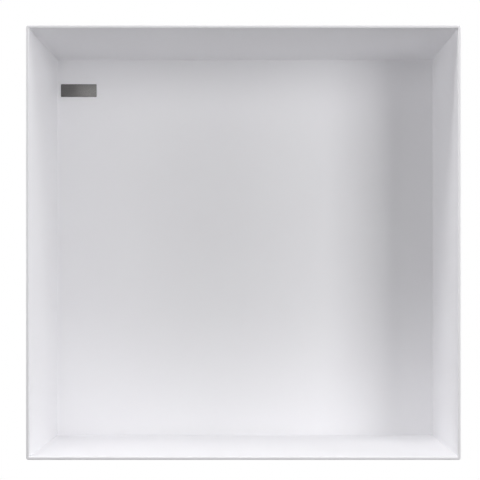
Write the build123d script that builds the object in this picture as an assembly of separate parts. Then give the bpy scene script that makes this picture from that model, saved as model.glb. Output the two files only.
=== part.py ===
from build123d import *
import os

# Surface-mounted shower niche: a square, open-fronted box folded from one coated sheet of steel,
# with a small metal plate bonded to its back wall, high on the left.
# The sheet's cross-shaped blank is folded forward along the four edges of the back, and the four
# corners where the walls meet are welded and ground smooth.
#
# Millimetres. As seen from the front, +X is right, +Z is up and +Y goes into the wall.
# The origin is the centre of the flat back, on the wall's surface.

# Driving dimensions of the box
WIDTH = 300.0  # outside, along X
HEIGHT = 300.0  # outside, along Z
DEPTH = 100.0  # from the wall to the front rim, along Y
SHEET = 2.0  # coated sheet, and so the width of the rim
BEND_RADIUS = 1.0  # inside radius of the folds around the back
CORNER_ROUND = 1.5  # outside radius of the welded and ground corners
CORNER_FILL = 0.5  # inside radius of those corners, where weld and coating gather
RIM_ROUND = 0.5  # rounding of both edges of the rim, where the cut sheet was deburred

# Driving dimensions of the plate
PLATE_WIDTH = 28.0
PLATE_HEIGHT = 10.0
PLATE_THICKNESS = 0.5
PLATE_CORNER = 0.4  # radius of its corners, seen from the front
PLATE_BEVEL = 0.15  # bevel around its front face
PLATE_FROM_LEFT = 3.0  # from the left wall's inner face to the plate
PLATE_FROM_TOP = 19.5  # from the top wall's inner face to the plate

# Sizes that follow from the driving dimensions
INNER_WIDTH = WIDTH - 2 * SHEET
INNER_HEIGHT = HEIGHT - 2 * SHEET
OUTER_BEND = BEND_RADIUS + SHEET
FRONT_Y = -DEPTH
BACK_WALL_Y = -SHEET  # the face of the back that is seen inside the box
CUT_PAST_RIM = SHEET  # how far the hollow is cut beyond the rim


def pan_solid(width, height, back_y, front_y, bend, corner):
    """A block with rounded edges around its back and along its four corners."""
    depth = back_y - front_y
    middle_y = (back_y + front_y) / 2

    front_view = Plane.XZ.offset(-back_y) * RectangleRounded(width, height, corner)

    side_view = Plane.YZ * Pos(middle_y, 0) * Rectangle(depth, height)
    side_view = fillet(side_view.vertices().group_by(Axis.Y)[-1], bend)

    top_view = Plane.XY * Pos(0, middle_y) * Rectangle(width, depth)
    top_view = fillet(top_view.vertices().group_by(Axis.Y)[-1], bend)

    return (
        extrude(front_view, depth)
        & extrude(side_view, width / 2, both=True)
        & extrude(top_view, height / 2, both=True)
    )


def make_niche_box():
    """The folded box: an outer block, hollowed from the front, with a rounded rim."""
    outside = pan_solid(WIDTH, HEIGHT, 0, FRONT_Y, OUTER_BEND, CORNER_ROUND)
    hollow = pan_solid(
        INNER_WIDTH, INNER_HEIGHT, BACK_WALL_Y, FRONT_Y - CUT_PAST_RIM, BEND_RADIUS, CORNER_FILL
    )
    box = outside - hollow
    rim_face = box.faces().sort_by(Axis.Y)[0]
    return fillet(rim_face.edges(), RIM_ROUND)


def make_plate():
    """The blank plate: a thin rounded rectangle, bevelled in front and flat against the back wall."""
    centre_x = -INNER_WIDTH / 2 + PLATE_FROM_LEFT + PLATE_WIDTH / 2
    centre_z = INNER_HEIGHT / 2 - PLATE_FROM_TOP - PLATE_HEIGHT / 2
    outline = RectangleRounded(PLATE_WIDTH, PLATE_HEIGHT, PLATE_CORNER)
    plate = extrude(Plane.XZ.offset(-BACK_WALL_Y) * Pos(centre_x, centre_z) * outline, PLATE_THICKNESS)
    front_face = plate.faces().sort_by(Axis.Y)[0]
    return chamfer(front_face.edges(), PLATE_BEVEL)


os.makedirs("parts", exist_ok=True)
export_step(make_niche_box(), "parts/niche_box.step")
export_step(make_plate(), "parts/blank_plate.step")
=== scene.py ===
import math

import bpy
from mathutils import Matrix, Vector


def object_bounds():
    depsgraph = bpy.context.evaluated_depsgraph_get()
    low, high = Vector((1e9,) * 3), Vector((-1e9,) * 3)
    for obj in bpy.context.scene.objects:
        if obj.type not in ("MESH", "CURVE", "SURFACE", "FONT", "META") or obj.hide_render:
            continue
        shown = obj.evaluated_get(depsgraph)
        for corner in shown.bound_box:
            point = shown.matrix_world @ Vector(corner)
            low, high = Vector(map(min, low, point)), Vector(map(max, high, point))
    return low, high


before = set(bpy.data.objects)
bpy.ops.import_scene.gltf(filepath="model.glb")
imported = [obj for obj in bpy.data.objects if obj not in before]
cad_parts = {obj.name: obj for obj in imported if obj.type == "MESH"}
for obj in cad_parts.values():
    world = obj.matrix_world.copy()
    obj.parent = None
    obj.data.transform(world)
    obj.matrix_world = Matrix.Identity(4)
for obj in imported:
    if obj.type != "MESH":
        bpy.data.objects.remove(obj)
cad_low, cad_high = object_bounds()


# Niche box
# One sheet of 2 mm steel, cut to a cross, folded forward along the four edges of its back and welded
# at the four corners of its walls. The welds are ground flush before the whole box is powder coated,
# so no joint shows. Its flat back is bonded to the tiles.

MM = 0.001


def linear_colour(hex_code):
    """The linear colour, with alpha, of an sRGB hex value."""
    channels = [int(hex_code[i:i + 2], 16) / 255 for i in (1, 3, 5)]
    return [c / 12.92 if c <= 0.04045 else ((c + 0.055) / 1.055) ** 2.4 for c in channels] + [1.0]


def add_node(tree, kind, inputs=None, **settings):
    """A node with its settings; an input takes either a value or the socket that feeds it."""
    node = tree.nodes.new(kind)
    for name, value in settings.items():
        setattr(node, name, value)
    for socket, value in (inputs or {}).items():
        if isinstance(value, bpy.types.NodeSocket):
            tree.links.new(value, node.inputs[socket])
        else:
            node.inputs[socket].default_value = value
    return node


def new_material(name):
    """An empty node material and its tree."""
    material = bpy.data.materials.new(name)
    material.use_nodes = True
    material.node_tree.nodes.clear()
    return material, material.node_tree


def matt_powder_coat():
    """Matt white polyester powder, sprayed dry and baked until it flows together.
    It gives the eye an even cool white with no clear reflection, a faint orange peel where light
    grazes it, and slow, barely visible changes of shade where the film is thicker. The rim is painted
    a little greyer, as painted shade along the front edge."""
    white = "#F2F1F4"
    thicker_white = "#F5F5F7"
    rim_painted_shade_white = "#E4E3E6"
    front = cad_low.y
    painted_shade_reach = 0.3 * MM  # how far back from the rim the greyer painted shade reaches
    film_patch = 70 * MM  # size of the slow changes of shade
    film_octaves = 3.0
    peel_wave = 2.5 * MM  # from crest to crest of the orange peel
    peel_height = 0.006 * MM
    peel_octaves = 1.0
    grain = 0.6 * MM  # powder grain, drawn coarser than its real 0.1 mm so that it shows
    grain_height = 0.003 * MM
    grain_octaves = 2.0
    smoothest = 0.52
    roughest = 0.62
    resin_ior = 1.5

    material, tree = new_material("matt_white_powder_coat")
    place = add_node(tree, "ShaderNodeTexCoord").outputs["Object"]
    film = add_node(
        tree, "ShaderNodeTexNoise",
        {"Vector": place, "Scale": 1 / film_patch, "Detail": film_octaves},
    )
    shade = add_node(
        tree, "ShaderNodeMix",
        {"Factor": film.outputs["Fac"], "A": linear_colour(white), "B": linear_colour(thicker_white)},
        data_type="RGBA",
    )
    behind_rim = add_node(tree, "ShaderNodeSeparateXYZ", {"Vector": place}).outputs["Y"]
    # Mask of the painted shade on the rim: 0 at the front edge, 1 a little further back.
    beyond_painted_shade = add_node(
        tree, "ShaderNodeMapRange",
        {"Value": behind_rim, "From Min": front, "From Max": front + painted_shade_reach},
    )
    # Painted shade: the rim's front edge is mixed to a greyer white.
    colour = add_node(
        tree, "ShaderNodeMix",
        {"Factor": beyond_painted_shade.outputs["Result"], "A": linear_colour(rim_painted_shade_white),
         "B": shade.outputs["Result"]},
        data_type="RGBA",
    )
    peel = add_node(
        tree, "ShaderNodeTexNoise",
        {"Vector": place, "Scale": 1 / peel_wave, "Detail": peel_octaves},
    )
    powder = add_node(
        tree, "ShaderNodeTexNoise",
        {"Vector": place, "Scale": 1 / grain, "Detail": grain_octaves},
    )
    sheen = add_node(
        tree, "ShaderNodeMapRange",
        {"Value": powder.outputs["Fac"], "To Min": smoothest, "To Max": roughest},
    )
    waves = add_node(
        tree, "ShaderNodeBump",
        {"Height": peel.outputs["Fac"], "Distance": peel_height, "Strength": 1.0},
    )
    surface = add_node(
        tree, "ShaderNodeBump",
        {"Height": powder.outputs["Fac"], "Distance": grain_height, "Strength": 1.0,
         "Normal": waves.outputs["Normal"]},
    )
    coat = add_node(
        tree, "ShaderNodeBsdfPrincipled",
        {"Base Color": colour.outputs["Result"], "Roughness": sheen.outputs["Result"],
         "IOR": resin_ior, "Normal": surface.outputs["Normal"]},
    )
    add_node(tree, "ShaderNodeOutputMaterial", {"Surface": coat.outputs["BSDF"]})
    return material


niche_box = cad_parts["niche_box"]
niche_box.data.materials.clear()
niche_box.data.materials.append(matt_powder_coat())


# Blank plate
# A small plate of stainless steel, 0.5 mm thick with a bevelled front, bonded to the back wall, high on
# the left. It is brushed along its length and then darkened.

def brushed_dark_steel():
    """Stainless steel, brushed along its length and then blackened.
    It gives the eye a soft dark mirror, streaked from left to right: where it mirrors the wall beside
    it, it is darker than where it mirrors the room."""
    dark_grey = "#636261"
    bright_scratch = "#7A7978"
    streak_width = 0.25 * MM  # real scratches are finer; drawn this wide so that they show
    streak_length = 12 * MM
    streak_octaves = 4.0
    scratch_depth = 0.002 * MM
    smoothest = 0.18
    roughest = 0.26

    material, tree = new_material("brushed_dark_steel")
    place = add_node(tree, "ShaderNodeTexCoord").outputs["Object"]
    along = add_node(
        tree, "ShaderNodeMapping",
        {"Vector": place, "Scale": (1 / streak_length, 1 / streak_width, 1 / streak_width)},
    )
    streaks = add_node(
        tree, "ShaderNodeTexNoise",
        {"Vector": along.outputs["Vector"], "Scale": 1.0, "Detail": streak_octaves},
    )
    metal = add_node(
        tree, "ShaderNodeMix",
        {"Factor": streaks.outputs["Fac"], "A": linear_colour(dark_grey),
         "B": linear_colour(bright_scratch)},
        data_type="RGBA",
    )
    polish = add_node(
        tree, "ShaderNodeMapRange",
        {"Value": streaks.outputs["Fac"], "To Min": smoothest, "To Max": roughest},
    )
    scratches = add_node(
        tree, "ShaderNodeBump",
        {"Height": streaks.outputs["Fac"], "Distance": scratch_depth, "Strength": 1.0},
    )
    steel = add_node(
        tree, "ShaderNodeBsdfPrincipled",
        {"Base Color": metal.outputs["Result"], "Metallic": 1.0, "Roughness": polish.outputs["Result"],
         "Normal": scratches.outputs["Normal"]},
    )
    add_node(tree, "ShaderNodeOutputMaterial", {"Surface": steel.outputs["BSDF"]})
    return material


blank_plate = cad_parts["blank_plate"]
blank_plate.data.materials.clear()
blank_plate.data.materials.append(brushed_dark_steel())


# Studio floor and backdrop
# A white light table that the box stands on, and an even white surround, so that the background is
# clean and the box is lit by the softboxes and a little even light from all round.

FLOOR_SIZE = 40.0  # metres
PURE_WHITE = "#FFFFFF"
AMBIENT = 0.172  # light of the surround on the box, against 1.0 as the lens sees it

floor_mesh = bpy.data.meshes.new("floor")
reach = FLOOR_SIZE / 2
floor_level = cad_low.z
floor_corners = [(-reach, -reach, floor_level), (reach, -reach, floor_level),
                 (reach, reach, floor_level), (-reach, reach, floor_level)]
floor_mesh.from_pydata(floor_corners, [], [(0, 1, 2, 3)])
floor = bpy.data.objects.new("floor", floor_mesh)
bpy.context.scene.collection.objects.link(floor)
# Only the lens sees the floor: it neither lights nor shades the box.
floor.visible_diffuse = False
floor.visible_glossy = False
floor.visible_shadow = False

floor_material, floor_tree = new_material("white_light_table")
glow = add_node(floor_tree, "ShaderNodeEmission", {"Color": linear_colour(PURE_WHITE), "Strength": 1.0})
add_node(floor_tree, "ShaderNodeOutputMaterial", {"Surface": glow.outputs["Emission"]})
floor_mesh.materials.append(floor_material)

world = bpy.data.worlds.new("white_surround")
bpy.context.scene.world = world
world.use_nodes = True
world.node_tree.nodes.clear()
seen = add_node(world.node_tree, "ShaderNodeLightPath").outputs["Is Camera Ray"]
strength = add_node(
    world.node_tree, "ShaderNodeMapRange", {"Value": seen, "To Min": AMBIENT, "To Max": 1.0}
)
surround = add_node(
    world.node_tree, "ShaderNodeBackground",
    {"Color": linear_colour(PURE_WHITE), "Strength": strength.outputs["Result"]},
)
add_node(world.node_tree, "ShaderNodeOutputWorld", {"Surface": surround.outputs["Background"]})


# Softboxes
# The key light stands right of the lens and leaves the right side of the back wall in soft shade. One
# softbox hangs over the front and lights the lower wall, weaker ones fill from the lens and both sides,
# and two behind the box light its outer sides and its back.

box_centre = (cad_low + cad_high) / 2


def softbox(name, azimuth, elevation, distance, width, height, power):
    """An area light, aimed at the middle of the box.
    Azimuth is in degrees right of the lens, lengths are in metres and power is in watts."""
    turn = math.radians(azimuth)
    rise = math.radians(elevation)
    towards = Vector((
        math.sin(turn) * math.cos(rise),
        -math.cos(turn) * math.cos(rise),
        math.sin(rise),
    ))
    light = bpy.data.lights.new(name, "AREA")
    light.shape = "RECTANGLE"
    light.size = width
    light.size_y = height
    light.energy = power
    lamp = bpy.data.objects.new(name, light)
    lamp.location = box_centre + towards * distance
    lamp.rotation_euler = towards.to_track_quat("Z", "Y").to_euler()
    lamp.visible_camera = False
    bpy.context.scene.collection.objects.link(lamp)


softbox("key_softbox", azimuth=34, elevation=7, distance=1.3, width=0.5, height=0.8, power=6.8)
softbox("overhead_softbox", azimuth=-20, elevation=71, distance=1.4, width=0.7, height=0.3, power=10.5)
softbox("lens_fill", azimuth=-20, elevation=8, distance=1.5, width=0.8, height=0.6, power=2.3)
softbox("left_fill", azimuth=-66, elevation=0, distance=1.5, width=0.5, height=0.4, power=3.5)
softbox("right_fill", azimuth=79, elevation=18, distance=1.5, width=0.5, height=0.9, power=6.7)
softbox("upper_left_fill", azimuth=-80, elevation=40, distance=1.5, width=0.5, height=0.4, power=2.6)
softbox("rear_left_softbox", azimuth=-145, elevation=0, distance=1.5, width=0.8, height=0.3, power=10)
softbox("rear_right_softbox", azimuth=145, elevation=0, distance=1.5, width=0.8, height=0.3, power=8)


# Camera
# Level, facing the open front, a little right of its middle and below it. The lens is shifted, as on a
# view camera, so that the front stays square in the picture.

IMAGE_SIDE = 480  # pixels
FRONT_LEFT_PX = 26.4  # outer edges of the front in the picture
FRONT_RIGHT_PX = 460.4
FRONT_TOP_PX = 24.6
FRONT_BOTTOM_PX = 460.4
CAMERA_DISTANCE = 694 * MM  # from the front rim
CAMERA_RIGHT = 10.1 * MM  # of the box's middle
CAMERA_BELOW = 27.9 * MM

front_px = (FRONT_RIGHT_PX - FRONT_LEFT_PX + FRONT_BOTTOM_PX - FRONT_TOP_PX) / 2
px_per_metre = front_px / (cad_high.x - cad_low.x)
camera_data = bpy.data.cameras.new("camera")
camera_data.lens = px_per_metre * CAMERA_DISTANCE * camera_data.sensor_width / IMAGE_SIDE
middle_x_px = (FRONT_LEFT_PX + FRONT_RIGHT_PX) / 2 + CAMERA_RIGHT * px_per_metre
middle_y_px = (FRONT_TOP_PX + FRONT_BOTTOM_PX) / 2 + CAMERA_BELOW * px_per_metre
camera_data.shift_x = (IMAGE_SIDE / 2 - middle_x_px) / IMAGE_SIDE
camera_data.shift_y = (middle_y_px - IMAGE_SIDE / 2) / IMAGE_SIDE
camera = bpy.data.objects.new("camera", camera_data)
camera.location = (
    box_centre.x + CAMERA_RIGHT,
    cad_low.y - CAMERA_DISTANCE,
    box_centre.z - CAMERA_BELOW,
)
camera.rotation_euler = (math.radians(90), 0, 0)  # level, looking along +Y
bpy.context.scene.collection.objects.link(camera)
bpy.context.scene.camera = camera
bpy.context.scene.view_settings.view_transform = "Standard"
